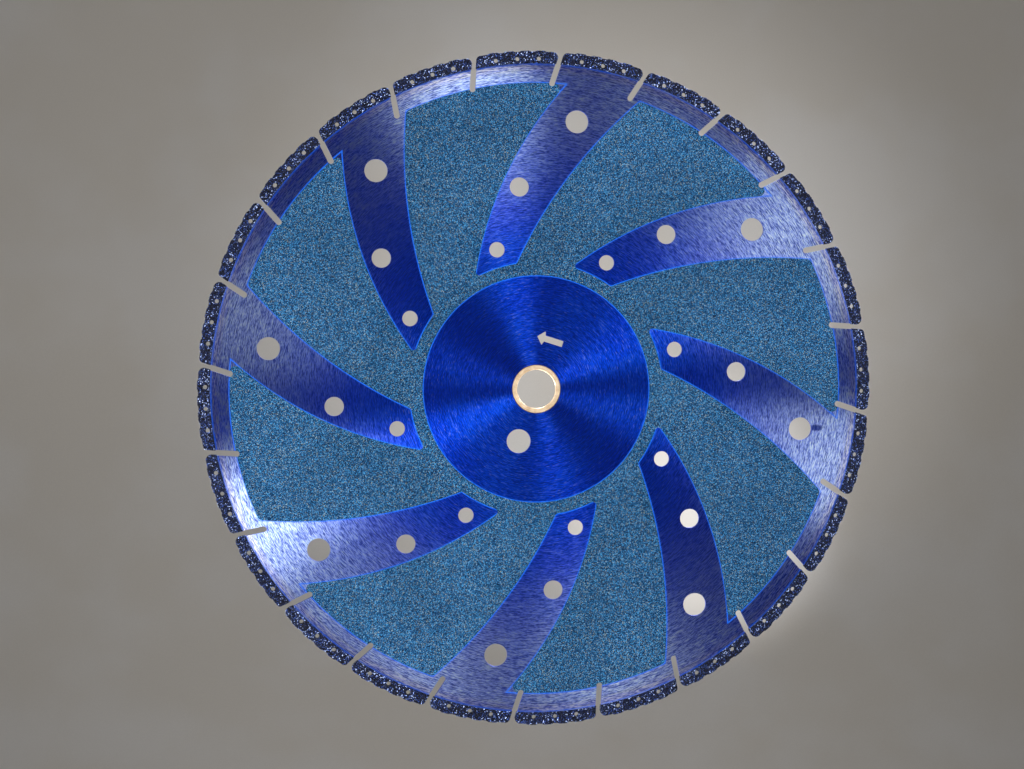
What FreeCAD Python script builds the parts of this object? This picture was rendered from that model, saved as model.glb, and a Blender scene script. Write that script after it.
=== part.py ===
import FreeCAD, Part

import math
import os

import Sketcher
from FreeCAD import Placement, Rotation, Vector

# A 350 mm diamond cutting blade. It stands upright like a wheel: the spin axis is Y, the front
# face looks along -Y, +Z is up and the origin is the middle of the bore at half thickness.
# Lengths are in millimetres. Angles are in degrees, anticlockwise from +X as seen from the front.
DIMENSIONS = [
    ("blade_radius", 175.0, "crests of the coated edge"),
    ("core_thickness", 2.4, "steel plate"),
    ("rim_thickness", 3.2, "over the grit on both faces"),
    ("coat_edge", 0.42, "grit on the outer edge, slot walls and small holes"),
    ("bore_diameter", 25.4, "plate bore, filled by the ring"),
    ("segment_count", 24, "slots and coated segments"),
    ("coat_inner_radius", 168.3, "inner edge of the grit"),
    ("crest_height", 0.5, "crest over valley on the outer edge"),
    ("crest_top_width", 4.0, "flat top of one crest"),
    ("crest_base_width", 6.2, "foot of one crest"),
    ("crest_pitch", 2.71, "angle between crests"),
    ("segment_angle", 3.43, "middle of the first segment"),
    ("lead_corner_radius", 1.8, "steel corner on the anticlockwise end of a segment"),
    ("trail_corner_radius", 2.5, "steel corner on the clockwise end of a segment"),
    ("slot_width", 3.0, "between the slot walls"),
    ("slot_tilt", 15.0, "slot against the radial line"),
    ("slot_angle", -3.45, "first slot's middle line at slot_reference_radius"),
    ("slot_reference_radius", 165.0, "where slot_angle is taken"),
    ("slot_bottom_radius", 156.9, "innermost point of a slot"),
    ("rim_hole_diameter", 3.0, "holes in the steel under the grit"),
    ("rim_hole_circle_radius", 170.9, "circle of the rim holes"),
    ("rim_hole_pitch", 3.745, "angle between rim holes"),
    ("vane_count", 8, "smooth curved vanes"),
    ("large_hole_diameter", 12.0, "vane hole nearest the rim"),
    ("large_hole_circle_radius", 140.0, "circle of the large holes"),
    ("large_hole_angle", 36.46, "first large hole"),
    ("medium_hole_diameter", 10.0, "middle vane hole"),
    ("medium_hole_circle_radius", 105.0, "circle of the medium holes"),
    ("medium_hole_angle", 49.95, "first medium hole"),
    ("small_hole_diameter", 8.0, "vane hole nearest the hub"),
    ("small_hole_circle_radius", 75.0, "circle of the small holes"),
    ("small_hole_angle", 60.94, "first small hole"),
    ("pin_hole_diameter", 12.5, "hole for the saw's drive pin"),
    ("pin_hole_circle_radius", 28.6, "drive pin from the bore's centre"),
    ("pin_hole_angle", -108.6, "direction of the drive pin"),
    ("hub_radius", 59.0, "smooth hub"),
    ("field_outer_radius", 158.4, "inner edge of the smooth rim band"),
    ("vane_tip_radius", 65.7, "inner ends of the vanes"),
    ("field_depth", 0.1, "blasted field below the smooth steel"),
    ("convex_edge_radius", 189.5, "vane edge on the anticlockwise side"),
    ("convex_edge_offset", 158.56, "that edge's centre from the bore's centre"),
    ("convex_edge_angle", -33.9, "direction of that centre for the first vane"),
    ("concave_edge_radius", 244.1, "vane edge on the clockwise side"),
    ("concave_edge_offset", 214.77, "that edge's centre from the bore's centre"),
    ("concave_edge_angle", -54.87, "direction of that centre for the first vane"),
    ("field_corner_radius", 3.0, "outer corners of the blasted field"),
    ("vane_tip_corner_radius", 1.8, "corners at the inner end of a vane"),
    ("arrow_distance", 26.3, "arrow's middle line from the bore's centre"),
    ("arrow_angle", 72.64, "direction of the arrow's foot point"),
    ("arrow_tail", 6.2, "tail behind the foot point"),
    ("arrow_length", 14.0, "tail to tip"),
    ("arrow_shaft_width", 3.2, "shaft of the arrow"),
    ("arrow_head_width", 7.6, "across the barbs"),
    ("arrow_barb", 10.45, "barbs from the tail"),
    ("arrow_notch", 9.75, "shaft's end from the tail"),
    ("arrow_corner_radius", 0.3, "rounding left by the cutting beam"),
    ("ring_bore_diameter", 20.0, "reducing ring's bore"),
    ("ring_thickness", 2.2, "a little thinner than the plate"),
    ("ring_clearance", 0.03, "radial gap between ring and plate"),
    ("ring_chamfer", 0.25, "all four edges of the ring"),
]

document = FreeCAD.newDocument("DiamondBlade")


def make_sheet():
    """The driving dimensions as a spreadsheet: name, value and meaning in one row each."""
    sheet = document.addObject("Spreadsheet::Sheet", "Dimensions")
    for row, (alias, value, meaning) in enumerate(DIMENSIONS, start=1):
        sheet.set(f"A{row}", alias)
        sheet.set(f"B{row}", str(value))
        sheet.set(f"C{row}", meaning)
        sheet.setAlias(f"B{row}", alias)
    document.recompute()
    return sheet


dimensions = make_sheet()
size = dimensions.get

# Worked out from the driving dimensions.
SEGMENT_COUNT = int(size("segment_count"))
VANE_COUNT = int(size("vane_count"))
SEGMENT_STEP = 360 / SEGMENT_COUNT
VANE_STEP = 360 / VANE_COUNT
STEEL_CREST_RADIUS = size("blade_radius") - size("coat_edge")
STEEL_VALLEY_RADIUS = STEEL_CREST_RADIUS - size("crest_height")
SLOT_DIRECTION = size("slot_angle") - size("slot_tilt")
SLOT_DISTANCE = size("slot_reference_radius") * math.sin(math.radians(size("slot_tilt")))
CREST_POSITIONS = [-1.5, -0.5, 0.5, 1.5]
RIM_HOLE_POSITIONS = [-1, 0, 1]
CUT_BEYOND_EDGE = 2.0
ORIGIN = Vector(0, 0, 0)
SPIN_AXIS = Vector(0, -1, 0)


# --- points and edges in the plane of a face sketch: x to the right, y up -----------------------


def polar(radius, angle):
    """The point at this radius and angle."""
    return Vector(radius * math.cos(math.radians(angle)), radius * math.sin(math.radians(angle)), 0)


def turned(point, angle):
    """A point turned anticlockwise about the bore's centre."""
    return Rotation(Vector(0, 0, 1), angle).multVec(point)


def line(start, end):
    return Part.LineSegment(start, end)


def arc(centre, start, end):
    """The shorter arc about a centre from one point to another."""
    radius = (start - centre).Length
    halfway = (start - centre) + (end - centre)
    return Part.Arc(start, centre + halfway.normalize() * radius, end)


def toward(centre, target, radius):
    """The point at a radius from a centre, in the direction of a target."""
    return centre + (target - centre).normalize() * radius


def crossing(centre_a, radius_a, centre_b, radius_b, near):
    """Where two circles cross, at the crossing closest to a point."""
    across = centre_b - centre_a
    distance = across.Length
    along = (radius_a**2 - radius_b**2 + distance**2) / (2 * distance)
    height = math.sqrt(radius_a**2 - along**2)
    axis = Vector(across).normalize()
    side = Vector(-axis.y, axis.x, 0) * height
    foot = centre_a + axis * along
    return min((foot + side, foot - side), key=lambda point: (point - near).Length)


def rounded_polygon(points, radius):
    """The edges of a closed polygon whose corners are rounded."""
    corners = []
    for index, corner in enumerate(points):
        back = (points[index - 1] - corner).normalize()
        ahead = (points[(index + 1) % len(points)] - corner).normalize()
        half_angle = back.getAngle(ahead) / 2
        middle = (back + ahead).normalize()
        centre = corner + middle * (radius / math.sin(half_angle))
        reach = radius / math.tan(half_angle)
        corners.append((corner + back * reach, centre, corner + ahead * reach))
    edges = []
    for index, (start, centre, end) in enumerate(corners):
        edges.append(arc(centre, start, end))
        edges.append(line(end, corners[(index + 1) % len(corners)][0]))
    return edges


# --- sketches and features ----------------------------------------------------------------------


def new_body(label):
    body = document.addObject("PartDesign::Body", label)
    body.Label = label
    return body


def origin_feature(body, role):
    return next(item for item in body.Origin.OriginFeatures if item.Role == role)


def new_sketch(body, name, plane="XZ_Plane"):
    sketch = body.newObject("Sketcher::SketchObject", name)
    sketch.AttachmentSupport = (origin_feature(body, plane), [""])
    sketch.MapMode = "FlatFace"
    return sketch


def draw(sketch, edges):
    """Put edges in a sketch and join their ends."""
    sketch.addGeometry(edges, False)
    sketch.detectMissingPointOnPointConstraints()
    sketch.makeMissingPointOnPointCoincident()


def draw_circle(sketch, name, diameter, circle_radius="0", angle="0"):
    """A circle whose size and place follow formulas of the spreadsheet's cells."""
    geometry = sketch.GeometryCount
    sketch.addGeometry(Part.Circle(Vector(geometry + 1, 1, 0), Vector(0, 0, 1), 1), False)
    bindings = [
        ("Diameter", (geometry, 1.0), "diameter", diameter),
        ("DistanceX", (-1, 1, geometry, 3, 1.0), "across", f"({circle_radius}) * cos(({angle}) * 1 deg)"),
        ("DistanceY", (-1, 1, geometry, 3, 1.0), "up", f"({circle_radius}) * sin(({angle}) * 1 deg)"),
    ]
    for kind, arguments, suffix, formula in bindings:
        constraint = sketch.addConstraint(Sketcher.Constraint(kind, *arguments))
        sketch.renameConstraint(constraint, f"{name}_{suffix}")
        sketch.setExpression(f"Constraints.{name}_{suffix}", formula)


def cell(alias):
    return f"Dimensions.{alias}"


def pad(body, name, sketch, length):
    feature = body.newObject("PartDesign::Pad", name)
    feature.Profile = sketch
    feature.SideType = "Symmetric"
    feature.setExpression("Length", length)
    return feature


def cut_through(body, name, sketch):
    """A pocket through the whole plate, both ways from the middle plane."""
    feature = body.newObject("PartDesign::Pocket", name)
    feature.Profile = sketch
    feature.SideType = "Symmetric"
    feature.Type = "ThroughAll"
    return feature


def repeat_around(body, name, feature, count):
    """Repeat a feature evenly about the spin axis."""
    pattern = body.newObject("PartDesign::PolarPattern", name)
    pattern.Originals = [feature]
    pattern.Axis = (origin_feature(body, "Y_Axis"), [""])
    pattern.Angle = 360
    pattern.setExpression("Occurrences", count)
    body.Tip = pattern
    return pattern


# --- the edge of one segment --------------------------------------------------------------------


def slot_point(slot, sideways, along):
    """A point in a slot's own directions: sideways is anticlockwise, along is outwards."""
    direction = SLOT_DIRECTION + slot * SEGMENT_STEP
    return polar(along, direction) + polar(SLOT_DISTANCE + sideways, direction + 90)


def wall_point(slot, sideways, radius):
    """Where a line parallel to a slot reaches a radius."""
    return slot_point(slot, sideways, math.sqrt(radius**2 - (SLOT_DISTANCE + sideways) ** 2))


def corner_arc(slot, sideways, edge_radius, corner_radius, inward):
    """The rounded corner between a slot wall and the outer edge: wall end, centre, edge end."""
    centre = wall_point(slot, sideways + inward * corner_radius, edge_radius - corner_radius)
    direction = SLOT_DIRECTION + slot * SEGMENT_STEP
    on_wall = centre - polar(inward * corner_radius, direction + 90)
    on_edge = toward(ORIGIN, centre, edge_radius)
    return on_wall, centre, on_edge


def crest_points(position, coat):
    """The four corners of one crest, clockwise end first. The coat raises them all alike."""
    valley = STEEL_VALLEY_RADIUS + coat
    crest = STEEL_CREST_RADIUS + coat
    middle = size("segment_angle") + position * size("crest_pitch")
    half_base = math.degrees(size("crest_base_width") / 2 / size("blade_radius"))
    half_top = math.degrees(size("crest_top_width") / 2 / size("blade_radius"))
    return [
        polar(valley, middle - half_base),
        polar(crest, middle - half_top),
        polar(crest, middle + half_top),
        polar(valley, middle + half_base),
    ]


def crest_edges(coat):
    """The wavy stretch of a segment's outer edge, from its clockwise to its anticlockwise end."""
    edges = []
    previous_foot = None
    for position in CREST_POSITIONS:
        foot, top_start, top_end, far_foot = crest_points(position, coat)
        if previous_foot is not None:
            edges.append(arc(ORIGIN, previous_foot, foot))
        edges += [line(foot, top_start), arc(ORIGIN, top_start, top_end), line(top_end, far_foot)]
        previous_foot = far_foot
    return edges


def coated_outline():
    """The outline of the first segment with its grit, down to the grit's inner edge."""
    coat = size("coat_edge")
    half_slot = size("slot_width") / 2 - coat
    edge_radius = STEEL_VALLEY_RADIUS + coat
    trail_wall, trail_centre, trail_edge = corner_arc(
        0, half_slot, edge_radius, size("trail_corner_radius") + coat, 1
    )
    lead_wall, lead_centre, lead_edge = corner_arc(
        1, -half_slot, edge_radius, size("lead_corner_radius") + coat, -1
    )
    trail_foot = wall_point(0, half_slot, size("coat_inner_radius"))
    lead_foot = wall_point(1, -half_slot, size("coat_inner_radius"))
    first_foot = crest_points(CREST_POSITIONS[0], coat)[0]
    last_foot = crest_points(CREST_POSITIONS[-1], coat)[-1]
    return [
        line(trail_foot, trail_wall),
        arc(trail_centre, trail_wall, trail_edge),
        arc(ORIGIN, trail_edge, first_foot),
        *crest_edges(coat),
        arc(ORIGIN, last_foot, lead_edge),
        arc(lead_centre, lead_edge, lead_wall),
        line(lead_wall, lead_foot),
        arc(ORIGIN, lead_foot, trail_foot),
    ]


def slot_outline():
    """The first slot with its rounded mouth, and the low stretches of edge on both sides of it."""
    half_slot = size("slot_width") / 2
    outside = STEEL_CREST_RADIUS + CUT_BEYOND_EDGE
    right_wall, right_centre, right_edge = corner_arc(
        0, -half_slot, STEEL_VALLEY_RADIUS, size("lead_corner_radius"), -1
    )
    left_wall, left_centre, left_edge = corner_arc(
        0, half_slot, STEEL_VALLEY_RADIUS, size("trail_corner_radius"), 1
    )
    bottom_along = math.sqrt(size("slot_bottom_radius") ** 2 - SLOT_DISTANCE**2)
    bottom = slot_point(0, 0, bottom_along)
    bottom_right = slot_point(0, -half_slot, bottom_along + half_slot)
    bottom_left = slot_point(0, half_slot, bottom_along + half_slot)
    right_top, right_foot = crest_points(CREST_POSITIONS[-1], 0)[2:]
    left_foot, left_top = crest_points(CREST_POSITIONS[0], 0)[:2]
    right_top = turned(right_top, -SEGMENT_STEP)
    right_foot = turned(right_foot, -SEGMENT_STEP)
    right_outside = toward(ORIGIN, right_top, outside)
    left_outside = toward(ORIGIN, left_top, outside)
    return [
        line(right_top, right_foot),
        arc(ORIGIN, right_foot, right_edge),
        arc(right_centre, right_edge, right_wall),
        line(right_wall, bottom_right),
        Part.Arc(bottom_right, bottom, bottom_left),
        line(bottom_left, left_wall),
        arc(left_centre, left_wall, left_edge),
        arc(ORIGIN, left_edge, left_foot),
        line(left_foot, left_top),
        line(left_top, left_outside),
        arc(ORIGIN, left_outside, right_outside),
        line(right_outside, right_top),
    ]


def valley_outlines():
    """The low stretches between the crests of the first segment."""
    outside = STEEL_CREST_RADIUS + CUT_BEYOND_EDGE
    edges = []
    for right, left in zip(CREST_POSITIONS, CREST_POSITIONS[1:]):
        right_top, right_foot = crest_points(right, 0)[2:]
        left_foot, left_top = crest_points(left, 0)[:2]
        right_outside = toward(ORIGIN, right_top, outside)
        left_outside = toward(ORIGIN, left_top, outside)
        edges += [
            line(right_outside, right_top),
            line(right_top, right_foot),
            arc(ORIGIN, right_foot, left_foot),
            line(left_foot, left_top),
            line(left_top, left_outside),
            arc(ORIGIN, left_outside, right_outside),
        ]
    return edges


# --- the blasted field --------------------------------------------------------------------------


def vane_edges(vane):
    """One vane's outline from its outer concave corner round its tip to its outer convex corner."""
    turn = vane * VANE_STEP
    outer = size("field_outer_radius")
    tip = size("vane_tip_radius")
    corner = size("field_corner_radius")
    tip_corner = size("vane_tip_corner_radius")
    convex = polar(size("convex_edge_offset"), size("convex_edge_angle") + turn)
    concave = polar(size("concave_edge_offset"), size("concave_edge_angle") + turn)
    convex_radius = size("convex_edge_radius")
    concave_radius = size("concave_edge_radius")
    near_rim = polar(outer, size("large_hole_angle") + turn)
    near_hub = polar(tip, size("small_hole_angle") + turn)

    concave_corner = crossing(concave, concave_radius - corner, ORIGIN, outer - corner, near_rim)
    concave_tip = crossing(concave, concave_radius + tip_corner, ORIGIN, tip + tip_corner, near_hub)
    convex_tip = crossing(convex, convex_radius - tip_corner, ORIGIN, tip + tip_corner, near_hub)
    convex_corner = crossing(convex, convex_radius + corner, ORIGIN, outer - corner, near_rim)

    rim_end = toward(ORIGIN, concave_corner, outer)
    concave_start = toward(concave, concave_corner, concave_radius)
    concave_end = toward(concave, concave_tip, concave_radius)
    tip_start = toward(ORIGIN, concave_tip, tip)
    tip_end = toward(ORIGIN, convex_tip, tip)
    convex_start = toward(convex, convex_tip, convex_radius)
    convex_end = toward(convex, convex_corner, convex_radius)
    rim_start = toward(ORIGIN, convex_corner, outer)
    edges = [
        arc(concave_corner, rim_end, concave_start),
        arc(concave, concave_start, concave_end),
        arc(concave_tip, concave_end, tip_start),
        arc(ORIGIN, tip_start, tip_end),
        arc(convex_tip, tip_end, convex_start),
        arc(convex, convex_start, convex_end),
        arc(convex_corner, convex_end, rim_start),
    ]
    return rim_end, edges, rim_start


def field_outline():
    """The outer boundary of the blasted field, round all the vanes."""
    vanes = [vane_edges(vane) for vane in range(VANE_COUNT)]
    edges = []
    for vane, (_, outline, rim_start) in enumerate(vanes):
        next_rim_end = vanes[(vane + 1) % VANE_COUNT][0]
        edges += outline
        edges.append(arc(ORIGIN, rim_start, next_rim_end))
    return edges


def arrow_outline():
    """The rotation arrow, pointing anticlockwise."""
    turn = size("arrow_angle") - 90
    middle = size("arrow_distance")
    half_shaft = size("arrow_shaft_width") / 2
    half_head = size("arrow_head_width") / 2
    shape = [
        (0, half_shaft),
        (0, -half_shaft),
        (size("arrow_notch"), -half_shaft),
        (size("arrow_barb"), -half_head),
        (size("arrow_length"), 0),
        (size("arrow_barb"), half_head),
        (size("arrow_notch"), half_shaft),
    ]
    points = [
        turned(Vector(size("arrow_tail") - along, middle + across, 0), turn)
        for along, across in shape
    ]
    return rounded_polygon(points, size("arrow_corner_radius"))


# --- the pieces ---------------------------------------------------------------------------------


def make_steel_core():
    """The steel plate with its slots, holes, arrow and blasted field."""
    body = new_body("steel_core")

    disc = new_sketch(body, "disc_outline")
    draw_circle(disc, "rim", f"2 * ({cell('blade_radius')} - {cell('coat_edge')})")
    draw_circle(disc, "bore", cell("bore_diameter"))
    pad(body, "plate", disc, cell("core_thickness"))

    slot = new_sketch(body, "slot_shape")
    draw(slot, slot_outline())
    repeat_around(body, "slots", cut_through(body, "slot", slot), cell("segment_count"))

    valley = new_sketch(body, "valley_shape")
    draw(valley, valley_outlines())
    repeat_around(body, "valleys", cut_through(body, "valley", valley), cell("segment_count"))

    rim_hole = new_sketch(body, "rim_hole_shape")
    for index, position in enumerate(RIM_HOLE_POSITIONS):
        draw_circle(
            rim_hole,
            f"hole_{index + 1}",
            cell("rim_hole_diameter"),
            cell("rim_hole_circle_radius"),
            f"{cell('segment_angle')} + ({position}) * {cell('rim_hole_pitch')}",
        )
    repeat_around(body, "rim_holes", cut_through(body, "rim_hole", rim_hole), cell("segment_count"))

    vane_hole = new_sketch(body, "vane_hole_shape")
    for name in ["large_hole", "medium_hole", "small_hole"]:
        draw_circle(
            vane_hole,
            name,
            cell(f"{name}_diameter"),
            cell(f"{name}_circle_radius"),
            cell(f"{name}_angle"),
        )
    repeat_around(body, "vane_holes", cut_through(body, "vane_hole", vane_hole), cell("vane_count"))

    pin_hole = new_sketch(body, "pin_hole_shape")
    draw_circle(
        pin_hole,
        "pin_hole",
        cell("pin_hole_diameter"),
        cell("pin_hole_circle_radius"),
        cell("pin_hole_angle"),
    )
    cut_through(body, "pin_hole", pin_hole)

    arrow = new_sketch(body, "arrow_shape")
    draw(arrow, arrow_outline())
    cut_through(body, "arrow", arrow)

    field = new_sketch(body, "field_shape")
    field.setExpression("AttachmentOffset.Base.z", f"{cell('core_thickness')} / 2")
    draw(field, field_outline())
    draw_circle(field, "hub", f"2 * {cell('hub_radius')}")
    front_field = body.newObject("PartDesign::Pocket", "front_field")
    front_field.Profile = field
    front_field.setExpression("Length", cell("field_depth"))
    back_field = body.newObject("PartDesign::Mirrored", "back_field")
    back_field.Originals = [front_field]
    back_field.MirrorPlane = (origin_feature(body, "XZ_Plane"), [""])
    body.Tip = back_field
    return body


def make_reducing_ring():
    """The turned ring that brings the plate's bore down to the saw's arbor."""
    body = new_body("reducing_ring")
    profile = new_sketch(body, "ring_profile", "XY_Plane")
    inner = size("ring_bore_diameter") / 2
    outer = size("bore_diameter") / 2 - size("ring_clearance")
    half = size("ring_thickness") / 2
    chamfer = size("ring_chamfer")
    points = [
        Vector(inner + chamfer, -half, 0),
        Vector(outer - chamfer, -half, 0),
        Vector(outer, chamfer - half, 0),
        Vector(outer, half - chamfer, 0),
        Vector(outer - chamfer, half, 0),
        Vector(inner + chamfer, half, 0),
        Vector(inner, half - chamfer, 0),
        Vector(inner, chamfer - half, 0),
    ]
    draw(profile, [line(point, points[(index + 1) % 8]) for index, point in enumerate(points)])
    turning = body.newObject("PartDesign::Revolution", "ring")
    turning.Profile = profile
    turning.ReferenceAxis = (profile, ["V_Axis"])
    turning.Angle = 360
    return body


def make_segment_outline():
    """The flat outline that all the coated segments share, with their three small openings."""
    sketch = document.addObject("Sketcher::SketchObject", "segment_outline")
    sketch.Placement = Placement(ORIGIN, Rotation(Vector(1, 0, 0), 90))
    draw(sketch, coated_outline())
    for index, position in enumerate(RIM_HOLE_POSITIONS):
        draw_circle(
            sketch,
            f"opening_{index + 1}",
            f"{cell('rim_hole_diameter')} - 2 * {cell('coat_edge')}",
            cell("rim_hole_circle_radius"),
            f"{cell('segment_angle')} + ({position}) * {cell('rim_hole_pitch')}",
        )
    return sketch


def make_segment_grit(outline, core):
    """The grit of the first segment: a block round the plate's rim with the plate taken out."""
    block = document.addObject("Part::Extrusion", "segment_block")
    block.Base = outline
    block.DirMode = "Normal"
    block.Solid = True
    block.Symmetric = True
    block.FaceMakerClass = "Part::FaceMakerBullseye"
    block.setExpression("LengthFwd", cell("rim_thickness"))
    grit = document.addObject("Part::Cut", "segment_grit")
    grit.Base = block
    grit.Tool = core
    return grit


def make_diamond_segment(number, grit):
    """One segment's grit, turned to its place on the rim."""
    body = new_body(f"diamond_segment_{number:02d}")
    body.BaseFeature = grit
    body.Placement = Placement(ORIGIN, Rotation(SPIN_AXIS, (number - 1) * SEGMENT_STEP))
    return body


def check_document():
    """Stop if any object of the document failed to build."""
    for item in document.Objects:
        if "Invalid" in item.State or "Error" in item.State:
            raise RuntimeError(f"{item.Name} is {item.State}")


def check_cuts(core):
    """Stop if a step of the plate cut nothing away."""
    volume = None
    for feature in core.Group:
        if feature.isDerivedFrom("PartDesign::Feature"):
            if volume is not None and feature.Shape.Volume > volume - 0.1:
                raise RuntimeError(f"{feature.Name} took no metal away")
            volume = feature.Shape.Volume


def write_parts(parts):
    """One STEP file for each piece, named after it."""
    os.makedirs("parts", exist_ok=True)
    for part in parts:
        if part.Shape.isNull() or not part.Shape.isValid():
            raise RuntimeError(f"{part.Label} has no valid shape")
        part.Shape.exportStep(f"parts/{part.Label}.step")


steel_core = make_steel_core()
reducing_ring = make_reducing_ring()
segment_grit = make_segment_grit(make_segment_outline(), steel_core)
segments = [make_diamond_segment(number, segment_grit) for number in range(1, SEGMENT_COUNT + 1)]
document.recompute()
check_document()
check_cuts(steel_core)
write_parts([steel_core, reducing_ring, *segments])
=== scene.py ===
import math

import bmesh
import bpy
import numpy as np
from mathutils import Matrix, Vector
from mathutils.geometry import delaunay_2d_cdt


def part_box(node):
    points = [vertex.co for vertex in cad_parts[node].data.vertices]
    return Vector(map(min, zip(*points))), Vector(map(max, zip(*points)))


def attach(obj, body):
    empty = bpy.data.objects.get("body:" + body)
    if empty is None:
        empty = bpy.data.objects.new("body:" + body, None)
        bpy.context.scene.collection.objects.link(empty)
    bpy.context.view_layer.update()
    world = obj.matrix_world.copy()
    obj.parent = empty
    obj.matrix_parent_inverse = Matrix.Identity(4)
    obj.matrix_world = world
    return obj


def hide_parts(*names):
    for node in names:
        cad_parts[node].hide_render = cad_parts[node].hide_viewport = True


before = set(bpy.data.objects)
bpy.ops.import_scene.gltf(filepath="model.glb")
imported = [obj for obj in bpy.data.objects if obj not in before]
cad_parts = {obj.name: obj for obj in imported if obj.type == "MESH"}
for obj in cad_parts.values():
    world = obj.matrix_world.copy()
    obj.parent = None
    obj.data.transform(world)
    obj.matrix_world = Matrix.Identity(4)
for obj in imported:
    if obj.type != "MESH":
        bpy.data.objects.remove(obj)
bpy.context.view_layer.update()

# A diamond cutting blade standing upright: the spin axis is Y and the front looks along -Y.
# Meshes are in metres. Shaders work in millimetres, so names that end in _MM hold millimetres.
# Angles are in degrees, anticlockwise from +X as seen from the front.

MM = 0.001
PLATE_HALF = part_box("steel_core")[1].y
SEGMENTS = sorted(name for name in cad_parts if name.startswith("diamond_segment"))
RIM_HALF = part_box(SEGMENTS[0])[1].y

# The outlines of the smooth lands on the plate. Each vane edge is an arc of a circle, given by its
# radius and by where the circle's centre is from the bore's centre.
HUB_MM = 59.0
VANE_TIP_MM = 65.7
FIELD_OUTER_MM = 158.4
GRIT_INNER_MM = 168.3
RING_OUTER_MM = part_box("reducing_ring")[1].x / MM
FIELD_DEPTH_MM = 0.1
VANE_STEP = 45.0
CONVEX_EDGE = {"radius": 189.5, "offset": 158.56, "angle": -33.9}
CONCAVE_EDGE = {"radius": 244.1, "offset": 214.77, "angle": -54.87}


# --- node trees written as sums -----------------------------------------------------------------


class Value:
    """A shader value that adds, multiplies and compares like a number."""

    def __init__(self, tree, output):
        self.tree = tree
        self.output = output

    def math(self, operation, *others):
        node = self.tree.nodes.new("ShaderNodeMath")
        node.operation = operation
        for socket, value in zip(node.inputs, (self, *others)):
            feed(self.tree, socket, value)
        return Value(self.tree, node.outputs[0])

    def __add__(self, other):
        return self.math("ADD", other)

    def __sub__(self, other):
        return self.math("SUBTRACT", other)

    def __mul__(self, other):
        return self.math("MULTIPLY", other)

    def __truediv__(self, other):
        return self.math("DIVIDE", other)

    def __neg__(self):
        return self.math("MULTIPLY", -1.0)

    def ramp(self, low, high, start=0.0, end=1.0):
        """Map low..high smoothly to start..end, and hold it there."""
        return output_of(
            self.tree,
            "ShaderNodeMapRange",
            "Result",
            {"interpolation_type": "SMOOTHSTEP"},
            {"Value": self, "From Min": low, "From Max": high, "To Min": start, "To Max": end},
        )


def feed(tree, socket, value):
    """Link a Value, or set a plain number or colour."""
    if isinstance(value, Value):
        tree.links.new(value.output, socket)
    else:
        socket.default_value = value


def output_of(tree, kind, output, settings=None, inputs=None):
    """Make a node with these settings and inputs, and give one of its outputs."""
    node = tree.nodes.new(kind)
    for name, value in (settings or {}).items():
        setattr(node, name, value)
    for name, value in (inputs or {}).items():
        feed(tree, node.inputs[name], value)
    return Value(tree, node.outputs[output])


def split(tree, vector):
    """The x, y and z of a vector."""
    node = tree.nodes.new("ShaderNodeSeparateXYZ")
    feed(tree, node.inputs[0], vector)
    return [Value(tree, output) for output in node.outputs]


def join(tree, x, y, z):
    return output_of(tree, "ShaderNodeCombineXYZ", 0, None, {"X": x, "Y": y, "Z": z})


def mix(tree, factor, first, second):
    """Blend two colours."""
    node = tree.nodes.new("ShaderNodeMix")
    node.data_type = "RGBA"
    feed(tree, node.inputs[0], factor)
    feed(tree, node.inputs[6], first)
    feed(tree, node.inputs[7], second)
    return Value(tree, node.outputs[2])


def brighten(tree, colour, factor):
    """A colour times a number."""
    same_on_all = join(tree, factor, factor, factor)
    return output_of(
        tree, "ShaderNodeVectorMath", 0, {"operation": "MULTIPLY"}, {0: colour, 1: same_on_all}
    )


def noise(tree, vector, scale, detail=2.0, roughness=0.5):
    return output_of(
        tree,
        "ShaderNodeTexNoise",
        "Fac",
        None,
        {"Vector": vector, "Scale": scale, "Detail": detail, "Roughness": roughness},
    )


def cells(tree, vector, scale, output="Color"):
    """Cells of a Voronoi pattern: a random colour, or the distance from the cell's middle."""
    return output_of(tree, "ShaderNodeTexVoronoi", output, None, {"Vector": vector, "Scale": scale})


def bump(tree, height, distance_mm, strength=1.0):
    return output_of(
        tree,
        "ShaderNodeBump",
        "Normal",
        None,
        {"Height": height, "Distance": distance_mm * MM, "Strength": strength},
    )


def principled(tree, **inputs):
    """A Principled shader. Underscores stand for the spaces in its inputs' names."""
    named = {name.replace("_", " "): value for name, value in inputs.items()}
    return output_of(tree, "ShaderNodeBsdfPrincipled", "BSDF", None, named)


def mix_shaders(tree, factor, first, second):
    return output_of(tree, "ShaderNodeMixShader", 0, None, {0: factor, 1: first, 2: second})


def new_material(name):
    """An empty material and its node tree."""
    material = bpy.data.materials.new(name)
    material.use_nodes = True
    material.node_tree.nodes.clear()
    return material, material.node_tree


def show(tree, shader):
    output = tree.nodes.new("ShaderNodeOutputMaterial")
    tree.links.new(shader.output, output.inputs["Surface"])


# --- places on the blade, as shader values ------------------------------------------------------


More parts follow.
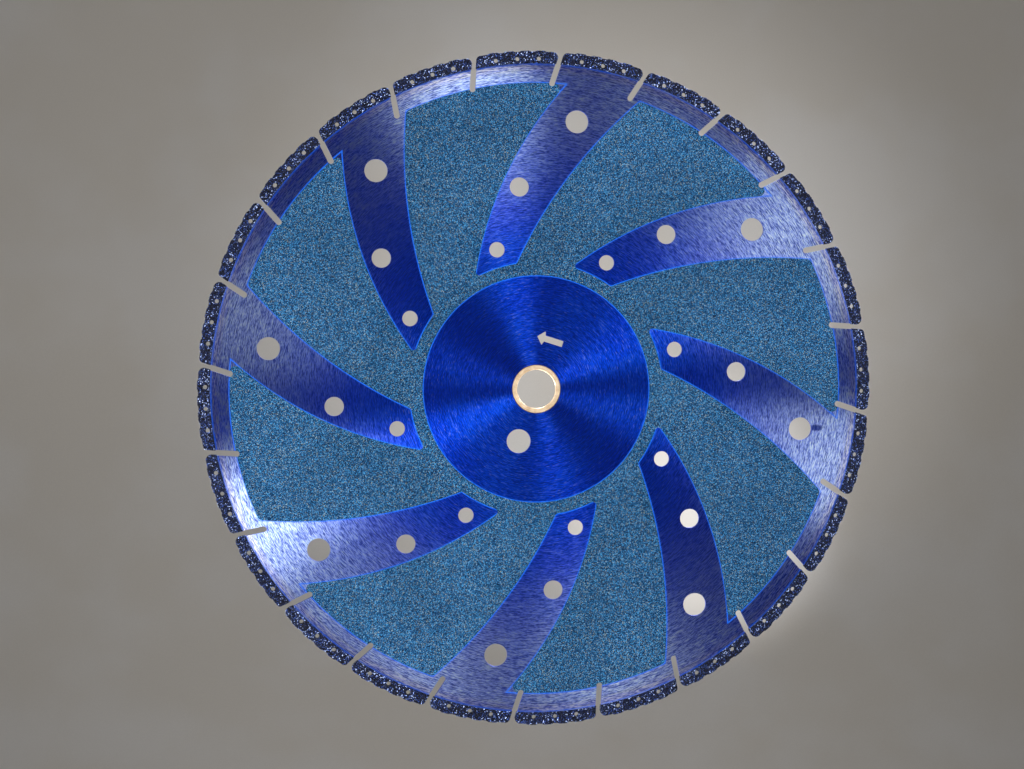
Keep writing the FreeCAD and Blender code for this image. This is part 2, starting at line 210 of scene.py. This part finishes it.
class Place:
    """Where a shaded point is on the blade, in millimetres."""

    def __init__(self, tree):
        coordinates = output_of(tree, "ShaderNodeTexCoord", "Object")
        self.point = output_of(
            tree, "ShaderNodeVectorMath", 0, {"operation": "SCALE"}, {0: coordinates, "Scale": 1 / MM}
        )
        self.x, self.y, self.z = split(tree, self.point)
        flat = join(tree, self.x, 0.0, self.z)
        self.radius = output_of(
            tree, "ShaderNodeVectorMath", "Value", {"operation": "LENGTH"}, {0: flat}
        )
        self.outward = output_of(
            tree, "ShaderNodeVectorMath", 0, {"operation": "NORMALIZE"}, {0: flat}
        )
        self.angle = self.z.math("ARCTAN2", self.x)
        normal = output_of(tree, "ShaderNodeNewGeometry", "True Normal")
        self.facing = split(tree, normal)[1].math("ABSOLUTE")

    def round_strokes(self, tree, length_mm, width_mm, shift=0.0):
        """Texture space squeezed along the radius, in which noise makes strokes round the blade."""
        return join(tree, self.x / length_mm, self.z / length_mm, self.radius / width_mm + shift)


def beyond_vane_edge(place, radius, offset, angle):
    """How far a point lies outside the nearest of the eight circles that make one vane edge."""
    reach = place.radius
    cosine = (reach * reach + (offset**2 - radius**2)) / (reach * (2 * offset))
    edge_turn = cosine.math("MAXIMUM", -1.0).math("MINIMUM", 1.0).math("ARCCOSINE")
    step = math.radians(VANE_STEP)
    from_edge = place.angle - edge_turn - math.radians(angle)
    folded = from_edge.math("WRAP", step / 2, -step / 2)
    across = (folded + edge_turn).math("COSINE")
    squared = reach * reach + offset**2 - reach * across * (2 * offset)
    return squared.math("SQRT") - radius


def depth_in_land(place):
    """Millimetres from a smooth land's edge: positive on the hub, vanes and rim, negative between."""
    convex = beyond_vane_edge(place, **CONVEX_EDGE)
    concave = beyond_vane_edge(place, **CONCAVE_EDGE)
    vane = (-convex).math("MINIMUM", concave).math("MINIMUM", place.radius - VANE_TIP_MM)
    hub = -(place.radius - HUB_MM)
    rim = place.radius - FIELD_OUTER_MM
    return vane.math("MAXIMUM", hub).math("MAXIMUM", rim)


# --- materials ----------------------------------------------------------------------------------

BLUE_LACQUER = (0.003, 0.088, 1.0, 1)
DEEP_LACQUER = (0.002, 0.058, 0.85, 1)
# Painted highlight: the brighter blue given to the land edges, where the rounded lacquer shoulder
# catches light.
EDGE_HIGHLIGHT_BLUE = (0.008, 0.17, 1.0, 1)
BODY_LACQUER = (0.003, 0.045, 0.75, 1)
BARE_SHEEN = (0.74, 0.91, 1.0, 1)
BARE_STEEL = (0.80, 0.78, 0.70, 1)
HEAT_STAIN = (0.10, 0.13, 0.20, 1)
FIELD_TEAL = (0.018, 0.10, 0.25, 1)
FIELD_DARK = (0.001, 0.009, 0.035, 1)
FIELD_CYAN = (0.08, 0.40, 0.80, 1)
FIELD_GOLD = (0.46, 0.52, 0.42, 1)
SCRATCHED = (0.5, 0.62, 0.8, 1)
DARK_MARK = (0.004, 0.012, 0.05, 1)
RING_SHADE = (0.12, 0.07, 0.05, 1)
WALL_BLUE = (0.02, 0.08, 0.3, 1)
BRAZE_BLACK = (0.0006, 0.001, 0.004, 1)
BRAZE_BLUE = (0.003, 0.006, 0.028, 1)
GRAIN_BLUE = (0.025, 0.055, 0.21, 1)
GRAIN_GLINT = (0.30, 0.38, 0.62, 1)
RING_GOLD = (0.68, 0.52, 0.35, 1)
RING_STAIN = (0.52, 0.37, 0.23, 1)
# A dark patch on the front face beside one large hole: its place and size.
DARK_MARK_PLACE_MM = (147.0, -20.3)
DARK_MARK_SIZE_MM = (6.0, 2.6)
SHEEN_STARTS_MM = 45.0
SHEEN_FULL_MM = 160.0
FAINT_CIRCLE_MM = 98.6
LONG_SHARE = 0.6
DIFFUSE_SHARE = 0.09
DIFFUSE_SHARE_AT_EDGE = 0.5


def scattered_marks(tree, place, length_mm, width_mm, share, shift):
    """Short separate scratches round the blade: 1 on a mark and 0 elsewhere."""
    stretched = place.round_strokes(tree, length_mm, width_mm, shift)
    spots = cells(tree, stretched, 1.0, "Distance").ramp(0.18, 0.34, 1.0, 0.0)
    lucky = split(tree, cells(tree, stretched, 1.0))[0].math("LESS_THAN", share)
    return spots * lucky


def dark_mark_beside_hole(tree, place):
    """A dark mark beside one large hole: 1 in its middle, 0 outside."""
    across = (place.x - DARK_MARK_PLACE_MM[0]) / DARK_MARK_SIZE_MM[0]
    up = (place.z - DARK_MARK_PLACE_MM[1]) / DARK_MARK_SIZE_MM[1]
    ragged = noise(tree, place.point, 0.5, 3.0) * 0.9
    reach = (across * across + up * up) + ragged
    on_front = place.y.math("LESS_THAN", 0.0)
    return reach.ramp(0.6, 1.1, 0.85, 0.0) * on_front


def lacquered_land(tree, place, depth):
    """Steel brushed in circles under blue lacquer, with a whiter sheen where the lacquer is thin."""
    long_strokes = noise(tree, place.round_strokes(tree, 4.6, 0.42), 1.0, 2.0, 0.6)
    fine_strokes = noise(tree, place.round_strokes(tree, 1.7, 0.26, 7.3), 1.0, 1.0, 0.5)
    strokes = long_strokes * LONG_SHARE + fine_strokes * (1 - LONG_SHARE)
    cloud = noise(tree, place.point, 0.03, 3.0)
    marks = scattered_marks(tree, place, 3.0, 0.35, 0.035, 2.7)

    colour = mix(tree, cloud.ramp(0.35, 0.65), DEEP_LACQUER, BLUE_LACQUER)
    # Brighter blue along the land edges and the grit's inner edge is a painted highlight for light
    # caught by the rounded lacquer shoulder; edge carries it.
    land_edge_highlight = depth.ramp(0.2, 0.8, 1.0, 0.0) * depth.ramp(-0.4, 0.0)
    grit_edge_highlight = place.radius.ramp(GRIT_INNER_MM - 1.2, GRIT_INNER_MM - 0.5)
    edge = land_edge_highlight.math("MAXIMUM", grit_edge_highlight * 0.6)
    colour = mix(tree, edge, colour, EDGE_HIGHLIGHT_BLUE)
    stain = place.radius.ramp(160.5, 165.5) * place.radius.ramp(167.2, 167.8, 1.0, 0.0)
    stain_streaks = noise(tree, place.round_strokes(tree, 14.0, 0.7, 3.1), 1.0, 3.0).ramp(0.42, 0.62)
    colour = mix(tree, stain * stain_streaks * 0.5, colour, HEAT_STAIN)
    colour = brighten(tree, colour, strokes.ramp(0.36, 0.64, 0.4, 1.6))
    colour = mix(tree, marks * 0.5, colour, SCRATCHED)
    # Darker colour in a patch beside one large hole, which also gets no sheen there.
    dark_mark = dark_mark_beside_hole(tree, place)
    colour = mix(tree, dark_mark, colour, DARK_MARK)

    toward_rim = place.radius.ramp(SHEEN_STARTS_MM, SHEEN_FULL_MM)
    thin_lacquer = toward_rim * toward_rim
    glints = strokes.ramp(0.56, 0.68, 0.0, 0.17)
    sheen = thin_lacquer * strokes.ramp(0.38, 0.64, 0.06, 0.74) + glints
    sheen = sheen * edge.ramp(0.0, 1.0, 1.0, 0.3)
    inside_circle = place.radius.ramp(FAINT_CIRCLE_MM - 0.8, FAINT_CIRCLE_MM + 0.8, 0.8, 1.0)
    outside_dark_mark = -dark_mark + 1.0
    normal = bump(tree, strokes, 0.02, 0.35)
    # The diffuse body carries the same painted edge highlight.
    body_colour = mix(tree, edge, BODY_LACQUER, EDGE_HIGHLIGHT_BLUE)
    body = principled(tree, Base_Color=body_colour, Roughness=0.6, Specular_IOR_Level=0.2)
    metal = principled(
        tree,
        Base_Color=colour,
        Metallic=1.0,
        Roughness=0.28,
        Anisotropic=0.94,
        Tangent=place.outward,
        Normal=normal,
    )
    beside_grit = place.radius.ramp(162.5, 167.0)
    bare = principled(
        tree,
        Base_Color=mix(tree, beside_grit * 0.8, BARE_SHEEN, BARE_STEEL),
        Metallic=1.0,
        Roughness=0.31,
        Anisotropic=1.0,
        Tangent=place.outward,
        Normal=normal,
    )
    diffuse_share = edge.ramp(0.0, 1.0, DIFFUSE_SHARE, DIFFUSE_SHARE_AT_EDGE)
    lacquer = mix_shaders(tree, diffuse_share, metal, body)
    return mix_shaders(tree, sheen * inside_circle * outside_dark_mark, lacquer, bare)


def blasted_field(tree, place):
    """Grit-blasted steel under the same lacquer: fine pits that scatter teal, cyan and gold."""
    grain = split(tree, cells(tree, place.point, 3.6))
    fine = noise(tree, place.point, 2.6, 1.0, 0.6)
    speckle = grain[0] * 0.6 + fine * 0.4
    colour = mix(tree, speckle.ramp(0.25, 0.75), FIELD_DARK, FIELD_TEAL)
    colour = mix(tree, grain[1].ramp(0.76, 0.98, 0.0, 0.9), colour, FIELD_CYAN)
    colour = mix(tree, grain[2].ramp(0.90, 0.99, 0.0, 0.8), colour, FIELD_GOLD)
    patch = noise(tree, place.point, 0.02, 2.0)
    colour = brighten(tree, colour, patch.ramp(0.3, 0.7, 0.9, 1.1))
    normal = bump(tree, grain[0] + fine, 0.10, 0.5)
    return principled(
        tree,
        Base_Color=colour,
        Metallic=0.9,
        Roughness=grain[2].ramp(0.0, 1.0, 0.44, 0.58),
        Specular_IOR_Level=0.2,
        Normal=normal,
    )


def steel_material():
    """The whole plate: smooth lands, blasted field and cut walls."""
    material, tree = new_material("lacquered_steel")
    place = Place(tree)
    depth = depth_in_land(place)
    land = lacquered_land(tree, place, depth)
    field = blasted_field(tree, place)
    between_levels = PLATE_HALF / MM - FIELD_DEPTH_MM / 2
    on_land = place.y.math("ABSOLUTE").math("GREATER_THAN", between_levels)
    face = mix_shaders(tree, on_land, field, land)
    cut_marks = noise(tree, join(tree, place.x, place.y * 0.1, place.z), 3.0, 2.0)
    wall = principled(
        tree,
        Base_Color=mix(tree, cut_marks, DEEP_LACQUER, WALL_BLUE),
        Metallic=1.0,
        Roughness=0.45,
        Normal=bump(tree, cut_marks, 0.05),
    )
    show(tree, mix_shaders(tree, place.facing.math("GREATER_THAN", 0.5), wall, face))
    return material


def grit_material():
    """Crushed diamond held in a dark braze under blue lacquer."""
    material, tree = new_material("diamond_grit")
    place = Place(tree)
    grain = split(tree, cells(tree, place.point, 2.2))
    dust = noise(tree, place.point, 2.0, 3.0, 0.7)
    colour = mix(tree, grain[0].ramp(0.2, 0.9), BRAZE_BLACK, BRAZE_BLUE)
    colour = mix(tree, grain[1].ramp(0.80, 0.95), colour, GRAIN_BLUE)
    colour = mix(tree, grain[2].ramp(0.93, 0.97), colour, GRAIN_GLINT)
    colour = brighten(tree, colour, dust.ramp(0.3, 0.7, 0.6, 1.4))
    show(
        tree,
        principled(
            tree,
            Base_Color=colour,
            Metallic=0.6,
            Roughness=grain[1].ramp(0.0, 1.0, 0.6, 0.28),
            Specular_IOR_Level=0.22,
            Normal=bump(tree, dust + grain[0], 0.2, 1.0),
        ),
    )
    return material


def ring_material():
    """Pale gold turned metal with fine tool marks round the bore."""
    material, tree = new_material("turned_ring")
    place = Place(tree)
    tool_marks = noise(tree, place.round_strokes(tree, 6.0, 0.15), 1.0, 3.0, 0.6)
    stains = noise(tree, place.point, 0.35, 3.0)
    colour = mix(tree, stains.ramp(0.35, 0.7), RING_GOLD, RING_STAIN)
    outer_line = place.radius.ramp(RING_OUTER_MM - 0.55, RING_OUTER_MM - 0.1)
    colour = mix(tree, outer_line * 0.8, colour, RING_SHADE)
    colour = brighten(tree, colour, tool_marks.ramp(0.3, 0.7, 0.8, 1.12))
    show(
        tree,
        principled(
            tree,
            Base_Color=colour,
            Metallic=0.3,
            Roughness=tool_marks.ramp(0.3, 0.7, 0.3, 0.45),
            Anisotropic=0.6,
            Tangent=place.outward,
            Normal=bump(tree, tool_marks, 0.02, 0.6),
        ),
    )
    return material


# --- grit-covered segments ----------------------------------------------------------------------

GRAIN = 0.30 * MM
COAT = 0.42 * MM
PROUD = 0.07 * MM
SUNK = 0.16 * MM
EDGE_ROUNDING = 0.14 * MM
SAME_PLACE = 0.002 * MM
MERGE_DISTANCE_MM = 1e-6
INSIDE_OUTLINE = 1
ROW_SPACING = 0.87
LOOSE_SHIFT = 0.28
CLEAR_OF_BORDER = 0.6
POINT_SEED = 7
FIRST_GRAIN_SEED = 100


def flat_key(point):
    return (round(point[0] / SAME_PLACE), round(point[1] / SAME_PLACE))


def front_loops(node):
    """The closed outlines of a CAD node's front face, as lists of (x, z), the longest first."""
    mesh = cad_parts[node].data
    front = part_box(node)[0].y
    corners = {}
    uses = {}
    for polygon in mesh.polygons:
        points = [mesh.vertices[index].co for index in polygon.vertices]
        if max(abs(point.y - front) for point in points) > SAME_PLACE:
            continue
        keys = []
        for point in points:
            key = flat_key((point.x, point.z))
            corners[key] = (point.x, point.z)
            keys.append(key)
        for start, end in zip(keys, keys[1:] + keys[:1]):
            uses[(start, end)] = True
    following = {start: end for start, end in uses if (end, start) not in uses}
    loops = []
    while following:
        key = next(iter(following))
        loop = []
        while key in following:
            loop.append(corners[key])
            key = following.pop(key)
        loops.append(np.array(loop))
    return sorted(loops, key=loop_length, reverse=True)


def loop_length(loop):
    return float(np.linalg.norm(np.roll(loop, -1, axis=0) - loop, axis=1).sum())


def resample(loop, spacing):
    """Points along a closed loop at about this spacing."""
    closed = np.vstack([loop, loop[:1]])
    steps = np.linalg.norm(np.diff(closed, axis=0), axis=1)
    along = np.concatenate([[0.0], np.cumsum(steps)])
    count = max(8, round(along[-1] / spacing))
    wanted = np.arange(count) * along[-1] / count
    return np.stack([np.interp(wanted, along, closed[:, axis]) for axis in range(2)], axis=1)


def loop_normals(loop):
    """Unit normals of a loop, all on its right-hand side."""
    along = np.roll(loop, -1, axis=0) - np.roll(loop, 1, axis=0)
    normals = np.stack([along[:, 1], -along[:, 0]], axis=1)
    return normals / np.linalg.norm(normals, axis=1)[:, None]


def inside(points, loop):
    """Which points lie inside a closed loop."""
    start = loop
    end = np.roll(loop, -1, axis=0)
    x = points[:, 0][:, None]
    y = points[:, 1][:, None]
    spans = (start[:, 1] > y) != (end[:, 1] > y)
    with np.errstate(divide="ignore", invalid="ignore"):
        slope = (end[:, 0] - start[:, 0]) / (end[:, 1] - start[:, 1])
        cross_x = start[:, 0] + (y - start[:, 1]) * slope
    return (spans & (x < cross_x)).sum(axis=1) % 2 == 1


def triangulate(loops, extra):
    """Triangles over the area inside the first loop and outside the round holes after it."""
    points = np.vstack([*loops, extra])
    owner = np.full(len(points), -1)
    edges = []
    first = 0
    for number, loop in enumerate(loops):
        count = len(loop)
        edges += [(first + index, first + (index + 1) % count) for index in range(count)]
        owner[first : first + count] = number
        first += count
    corners = [Vector(point) for point in points / MM]
    result = delaunay_2d_cdt(corners, edges, [], INSIDE_OUTLINE, MERGE_DISTANCE_MM)
    faces = np.array(result[2])
    owners = owner[faces]
    in_hole = (owners[:, 0] > 0) & (owners == owners[:, :1]).all(axis=1)
    return faces[~in_hole]


def scattered_points(loops, spacing, random):
    """Loose rows of points inside the first loop, clear of every loop."""
    low = loops[0].min(axis=0)
    high = loops[0].max(axis=0)
    rows = np.arange(low[1], high[1], spacing * ROW_SPACING)
    points = []
    for index, row in enumerate(rows):
        shift = spacing / 2 * (index % 2)
        across = np.arange(low[0] + shift, high[0], spacing)
        points.append(np.stack([across, np.full(len(across), row)], axis=1))
    points = np.vstack(points)
    points += random.uniform(-LOOSE_SHIFT, LOOSE_SHIFT, points.shape) * spacing
    points = points[inside(points, loops[0])]
    borders = np.vstack(loops)
    gaps = np.array([np.linalg.norm(borders - point, axis=1).min() for point in points])
    points = points[gaps > spacing * CLEAR_OF_BORDER]
    for hole in loops[1:]:
        points = points[~inside(points, hole)]
    return points


class SegmentShape:
    """One segment's grit as a closed shell wrapped round the plate's rim, before roughening."""

    def __init__(self, node):
        random = np.random.default_rng(POINT_SEED)
        loops = [resample(loop, GRAIN) for loop in front_loops(node)]
        self.points = []
        self.directions = []
        self.faces = []
        loose = scattered_points(loops, GRAIN, random)
        cap = triangulate(loops, loose)
        flat = np.vstack(loops + [loose])
        sides = np.zeros_like(flat)
        first = 0
        for loop in loops:
            sides[first : first + len(loop)] = loop_normals(loop)
            first += len(loop)
        if self.area(loops[0]) < 0:
            sides = -sides
        grit_foot = np.hypot(*loops[0].T) < (GRIT_INNER_MM + 0.05) * MM
        front = self.add_cap(flat, sides, -RIM_HALF, cap[:, ::-1])
        back = self.add_cap(flat, sides, RIM_HALF, cap)
        inner_loops = self.inner_loops(loops, sides, grit_foot)
        inner_cap = triangulate(inner_loops, np.zeros((0, 2)))
        inner_flat = np.vstack(inner_loops)
        still = np.zeros_like(inner_flat)
        inner_front = self.add_cap(inner_flat, still, -PLATE_HALF, inner_cap, moving=False)
        inner_back = self.add_cap(inner_flat, still, PLATE_HALF, inner_cap[:, ::-1], moving=False)
        first = 0
        for number, loop in enumerate(loops):
            open_edge = grit_foot if number == 0 else np.zeros(len(loop), bool)
            self.add_wall(loop, sides, first, front, back, inner_front, inner_back, open_edge)
            first += len(loop)
        self.points = np.vstack(self.points)
        self.directions = np.vstack(self.directions)

    @staticmethod
    def area(loop):
        following = np.roll(loop, -1, axis=0)
        return float((loop[:, 0] * following[:, 1] - following[:, 0] * loop[:, 1]).sum()) / 2

    def inner_loops(self, loops, sides, grit_foot):
        """The loops where the grit meets the plate."""
        result = []
        first = 0
        for number, loop in enumerate(loops):
            inner = loop - sides[first : first + len(loop)] * COAT
            if number == 0:
                inner[grit_foot] = self.narrowed_foot(loop[grit_foot])
            result.append(inner)
            first += len(loop)
        return result

    @staticmethod
    def narrowed_foot(foot):
        """The foot's points drawn together so that the arc stops short of the coat on each side."""
        turns = np.arctan2(foot[:, 1], foot[:, 0])
        reach = np.hypot(foot[:, 0], foot[:, 1])
        middle = (turns.min() + turns.max()) / 2
        half_length = (turns.max() - turns.min()) / 2 * reach.mean()
        turns = middle + (turns - middle) * (half_length - COAT) / half_length
        return np.stack([reach * np.cos(turns), reach * np.sin(turns)], axis=1)

    def count(self):
        return sum(len(block) for block in self.points)

    def add_cap(self, flat, sides, depth, faces, moving=True):
        """A flat face. Directions say which way roughening moves each point."""
        start = self.count()
        self.points.append(np.stack([flat[:, 0], np.full(len(flat), depth), flat[:, 1]], axis=1))
        out = np.sign(depth) if moving else 0.0
        self.directions.append(np.stack([sides[:, 0], np.full(len(flat), out), sides[:, 1]], axis=1))
        self.faces += [tuple(int(index) + start for index in face) for face in faces]
        return start

    def add_wall(self, loop, sides, first, front, back, inner_front, inner_back, open_edge):
        """The edge of the grit round one loop, with rows of points through its thickness."""
        rows = round(2 * RIM_HALF / GRAIN)
        depths = np.linspace(-RIM_HALF, RIM_HALF, rows + 1)[1:-1]
        out = sides[first : first + len(loop)]
        columns = [[front + first + index] for index in range(len(loop))]
        for depth in depths:
            start = self.count()
            self.points.append(np.stack([loop[:, 0], np.full(len(loop), depth), loop[:, 1]], axis=1))
            self.directions.append(np.stack([out[:, 0], np.zeros(len(loop)), out[:, 1]], axis=1))
            for index in range(len(loop)):
                columns[index].append(start + index)
        for index in range(len(loop)):
            columns[index].append(back + first + index)
        for index in range(len(loop)):
            following = (index + 1) % len(loop)
            inner = [inner_front + first + index, inner_front + first + following]
            inner_far = [inner_back + first + index, inner_back + first + following]
            if open_edge[index] and open_edge[following]:
                self.faces.append((columns[index][0], columns[following][0], inner[1], inner[0]))
                self.faces.append((*inner_far, columns[following][-1], columns[index][-1]))
                continue
            for row in range(rows):
                self.faces.append((
                    columns[index][row],
                    columns[following][row],
                    columns[following][row + 1],
                    columns[index][row + 1],
                ))
            self.faces.append((inner[1], inner[0], inner_far[0], inner_far[1]))
        for index in range(len(loop)):
            neighbours_open = open_edge[index - 1] and open_edge[(index + 1) % len(loop)]
            if open_edge[index] and not neighbours_open:
                foot = first + index
                self.faces.append((*columns[index], inner_back + foot, inner_front + foot))


def roughened(shape, random):
    """The shell's points with every outer point moved at random, like crushed grains."""
    directions = shape.directions.copy()
    # The length is 0 against the plate, 1 on a face or a wall and the square root of 2 where they meet.
    lengths = np.linalg.norm(directions, axis=1)
    outer = lengths > 0.5
    directions[outer] /= lengths[outer][:, None]
    height = random.uniform(-SUNK, PROUD, len(directions))
    on_edge = lengths > 1.1
    height[on_edge] -= EDGE_ROUNDING
    return shape.points + directions * np.where(outer, height, 0.0)[:, None]


def turn_about_spin_axis(points, angle):
    """Turn points anticlockwise as seen from the front."""
    cosine = math.cos(math.radians(angle))
    sine = math.sin(math.radians(angle))
    x = points[:, 0] * cosine - points[:, 2] * sine
    z = points[:, 0] * sine + points[:, 2] * cosine
    return np.stack([x, points[:, 1], z], axis=1)


def add_segments(material):
    """Every coated segment: the same shell in its own place, each with its own grains."""
    shape = SegmentShape(SEGMENTS[0])
    for index, node in enumerate(SEGMENTS):
        random = np.random.default_rng(FIRST_GRAIN_SEED + index)
        points = turn_about_spin_axis(roughened(shape, random), index * 360 / len(SEGMENTS))
        name = node.replace("diamond_segment", "grit")
        mesh = bpy.data.meshes.new(name)
        mesh.from_pydata(points.tolist(), [], shape.faces)
        work = bmesh.new()
        work.from_mesh(mesh)
        unused = [vertex for vertex in work.verts if not vertex.link_faces]
        bmesh.ops.delete(work, geom=unused, context="VERTS")
        bmesh.ops.recalc_face_normals(work, faces=work.faces)
        work.to_mesh(mesh)
        work.free()
        mesh.materials.append(material)
        piece = bpy.data.objects.new(name, mesh)
        bpy.context.scene.collection.objects.link(piece)
        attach(piece, "blade")
        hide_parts(node)


def paint(node, material):
    """Give a CAD node its finish."""
    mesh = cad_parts[node].data
    mesh.materials.clear()
    mesh.materials.append(material)


# --- studio -------------------------------------------------------------------------------------

CAMERA_TARGET = Vector((-0.0126, 0.0, 0.0023))
CAMERA_DISTANCE = 1.2972
CAMERA_AZIMUTH = -4.02
CAMERA_ELEVATION = 1.67
CAMERA_ROLL = 0.13
CAMERA_LENS = 87.9


def add_camera():
    """The camera, looking at the blade from in front and a little to the left."""
    azimuth = math.radians(CAMERA_AZIMUTH)
    elevation = math.radians(CAMERA_ELEVATION)
    back = Vector((
        math.sin(azimuth) * math.cos(elevation),
        -math.cos(azimuth) * math.cos(elevation),
        math.sin(elevation),
    ))
    data = bpy.data.cameras.new("camera")
    data.lens = CAMERA_LENS
    data.clip_end = 50.0
    camera = bpy.data.objects.new("camera", data)
    camera.location = CAMERA_TARGET + back * CAMERA_DISTANCE
    turn = (-back).to_track_quat("-Z", "Y").to_matrix()
    roll = Matrix.Rotation(math.radians(CAMERA_ROLL), 3, "Z")
    camera.rotation_euler = (turn @ roll).to_euler()
    bpy.context.scene.collection.objects.link(camera)
    bpy.context.scene.camera = camera


STRONG_WATTS = 16.0
MEDIUM_WATTS = 7.0
WEAK_WATTS = 3.0
BACK_WATTS = 11.0

BOX_DISTANCE = 1.0
BOX_WIDTH = 0.3
BACK_BOX_DISTANCE = 1.2
BACK_BOX_WIDTH = 0.7

# Soft boxes in front: direction round the blade, tilt from the front, watts. Their directions and
# strengths are rounded from a least-squares fit to the fans of light on the brushed lands.
FRONT_BOXES = [
    ("top", 95, 80, STRONG_WATTS),
    ("top_front", 105, 70, MEDIUM_WATTS),
    ("high_right", 35, 85, STRONG_WATTS),
    ("right_front", -15, 70, MEDIUM_WATTS),
    ("right", -25, 85, WEAK_WATTS),
    ("bottom", -100, 85, WEAK_WATTS),
    ("bottom_left", -125, 85, MEDIUM_WATTS),
    ("bottom_front", -110, 70, WEAK_WATTS),
    ("low_left", -155, 80, STRONG_WATTS),
    ("low_left_near", -150, 55, MEDIUM_WATTS),
]

# Larger soft boxes that light the back face.
BACK_BOXES = [
    ("back_high", 60, 140, BACK_WATTS),
    ("back_left", -160, 120, BACK_WATTS),
]


def add_soft_box(name, around, tilt, watts, distance, width):
    """A square area light aimed at the bore."""
    around = math.radians(around)
    tilt = math.radians(tilt)
    direction = Vector((
        math.sin(tilt) * math.cos(around),
        -math.cos(tilt),
        math.sin(tilt) * math.sin(around),
    ))
    light = bpy.data.lights.new(name, "AREA")
    light.energy = watts
    light.size = width
    lamp = bpy.data.objects.new(name, light)
    lamp.location = direction * distance
    lamp.rotation_euler = direction.to_track_quat("Z", "Y").to_euler()
    lamp.visible_camera = False
    bpy.context.scene.collection.objects.link(lamp)


DIM_ROOM = (0.012, 0.012, 0.013, 1)
STAGE_FLOOR = -1.2
STAGE_WALL = 4.5
STAGE_SWEEP = 1.2
STAGE_FRONT = -4.0
STAGE_TOP = 5.0
STAGE_HALF_WIDTH = 6.0
SWEEP_STEPS = 24
PAINT_SHADE = (0.78, 0.735, 0.67, 1)
PAINT_LIGHT = (0.82, 0.79, 0.75, 1)


def stage_material():
    """Matte pale paint with a faint rolled texture."""
    material, tree = new_material("studio_paint")
    place = Place(tree)
    cloud = noise(tree, place.point, 0.003, 3.0)
    stipple = noise(tree, place.point, 0.35, 3.0)
    colour = mix(tree, cloud.ramp(0.35, 0.65), PAINT_SHADE, PAINT_LIGHT)
    show(
        tree,
        principled(
            tree,
            Base_Color=brighten(tree, colour, stipple.ramp(0.3, 0.7, 0.985, 1.015)),
            Roughness=0.9,
            Normal=bump(tree, stipple, 0.3, 0.2),
        ),
    )
    return material


def add_stage():
    """A floor that sweeps up into a back wall, well behind the blade."""
    profile = [(STAGE_FRONT, STAGE_FLOOR), (STAGE_WALL - STAGE_SWEEP, STAGE_FLOOR)]
    for step in range(1, SWEEP_STEPS + 1):
        turn = math.pi / 2 * step / SWEEP_STEPS
        profile.append((
            STAGE_WALL - STAGE_SWEEP + STAGE_SWEEP * math.sin(turn),
            STAGE_FLOOR + STAGE_SWEEP * (1 - math.cos(turn)),
        ))
    profile.append((STAGE_WALL, STAGE_TOP))
    points = []
    for y, z in profile:
        points.append((-STAGE_HALF_WIDTH, y, z))
        points.append((STAGE_HALF_WIDTH, y, z))
    starts = range(0, len(points) - 2, 2)
    faces = [(start, start + 1, start + 3, start + 2) for start in starts]
    mesh = bpy.data.meshes.new("studio_sweep")
    mesh.from_pydata(points, [], faces)
    for polygon in mesh.polygons:
        polygon.use_smooth = True
    mesh.materials.append(stage_material())
    sweep = bpy.data.objects.new("studio_sweep", mesh)
    bpy.context.scene.collection.objects.link(sweep)


# Lamps behind the blade that light the wall: place, where each one points, cone angle, watts.
WALL_LAMPS = [
    ("wall_glow", (0.72, 3.3, -0.43), (0.72, 4.5, -0.43), 38, 29),
    ("wall_haze", (0.50, 3.0, 0.02), (0.50, 4.5, 0.02), 70, 28),
    ("wall_wash", (0.15, 2.0, 0.0), (0.15, 4.5, 0.0), 150, 24),
]
WALL_LIGHT = (0.965, 0.975, 1.0)
LAMP_RADIUS = 0.05


def add_wall_lamp(name, place, aim, cone, watts):
    """A soft-edged spot lamp that the camera doesn't see."""
    light = bpy.data.lights.new(name, "SPOT")
    light.energy = watts
    light.spot_size = math.radians(cone)
    light.spot_blend = 1.0
    light.color = WALL_LIGHT
    light.shadow_soft_size = LAMP_RADIUS
    lamp = bpy.data.objects.new(name, light)
    lamp.location = place
    lamp.rotation_euler = (Vector(place) - Vector(aim)).to_track_quat("Z", "Y").to_euler()
    lamp.visible_camera = False
    bpy.context.scene.collection.objects.link(lamp)


paint("steel_core", steel_material())
paint("reducing_ring", ring_material())
add_segments(grit_material())
add_stage()
add_camera()
for box in FRONT_BOXES:
    add_soft_box(*box, BOX_DISTANCE, BOX_WIDTH)
for box in BACK_BOXES:
    add_soft_box(*box, BACK_BOX_DISTANCE, BACK_BOX_WIDTH)
for wall_lamp in WALL_LAMPS:
    add_wall_lamp(*wall_lamp)

bpy.context.scene.view_settings.view_transform = "Standard"

world = bpy.data.worlds.new("studio")
world.use_nodes = True
world.node_tree.nodes["Background"].inputs["Color"].default_value = DIM_ROOM
bpy.context.scene.world = world
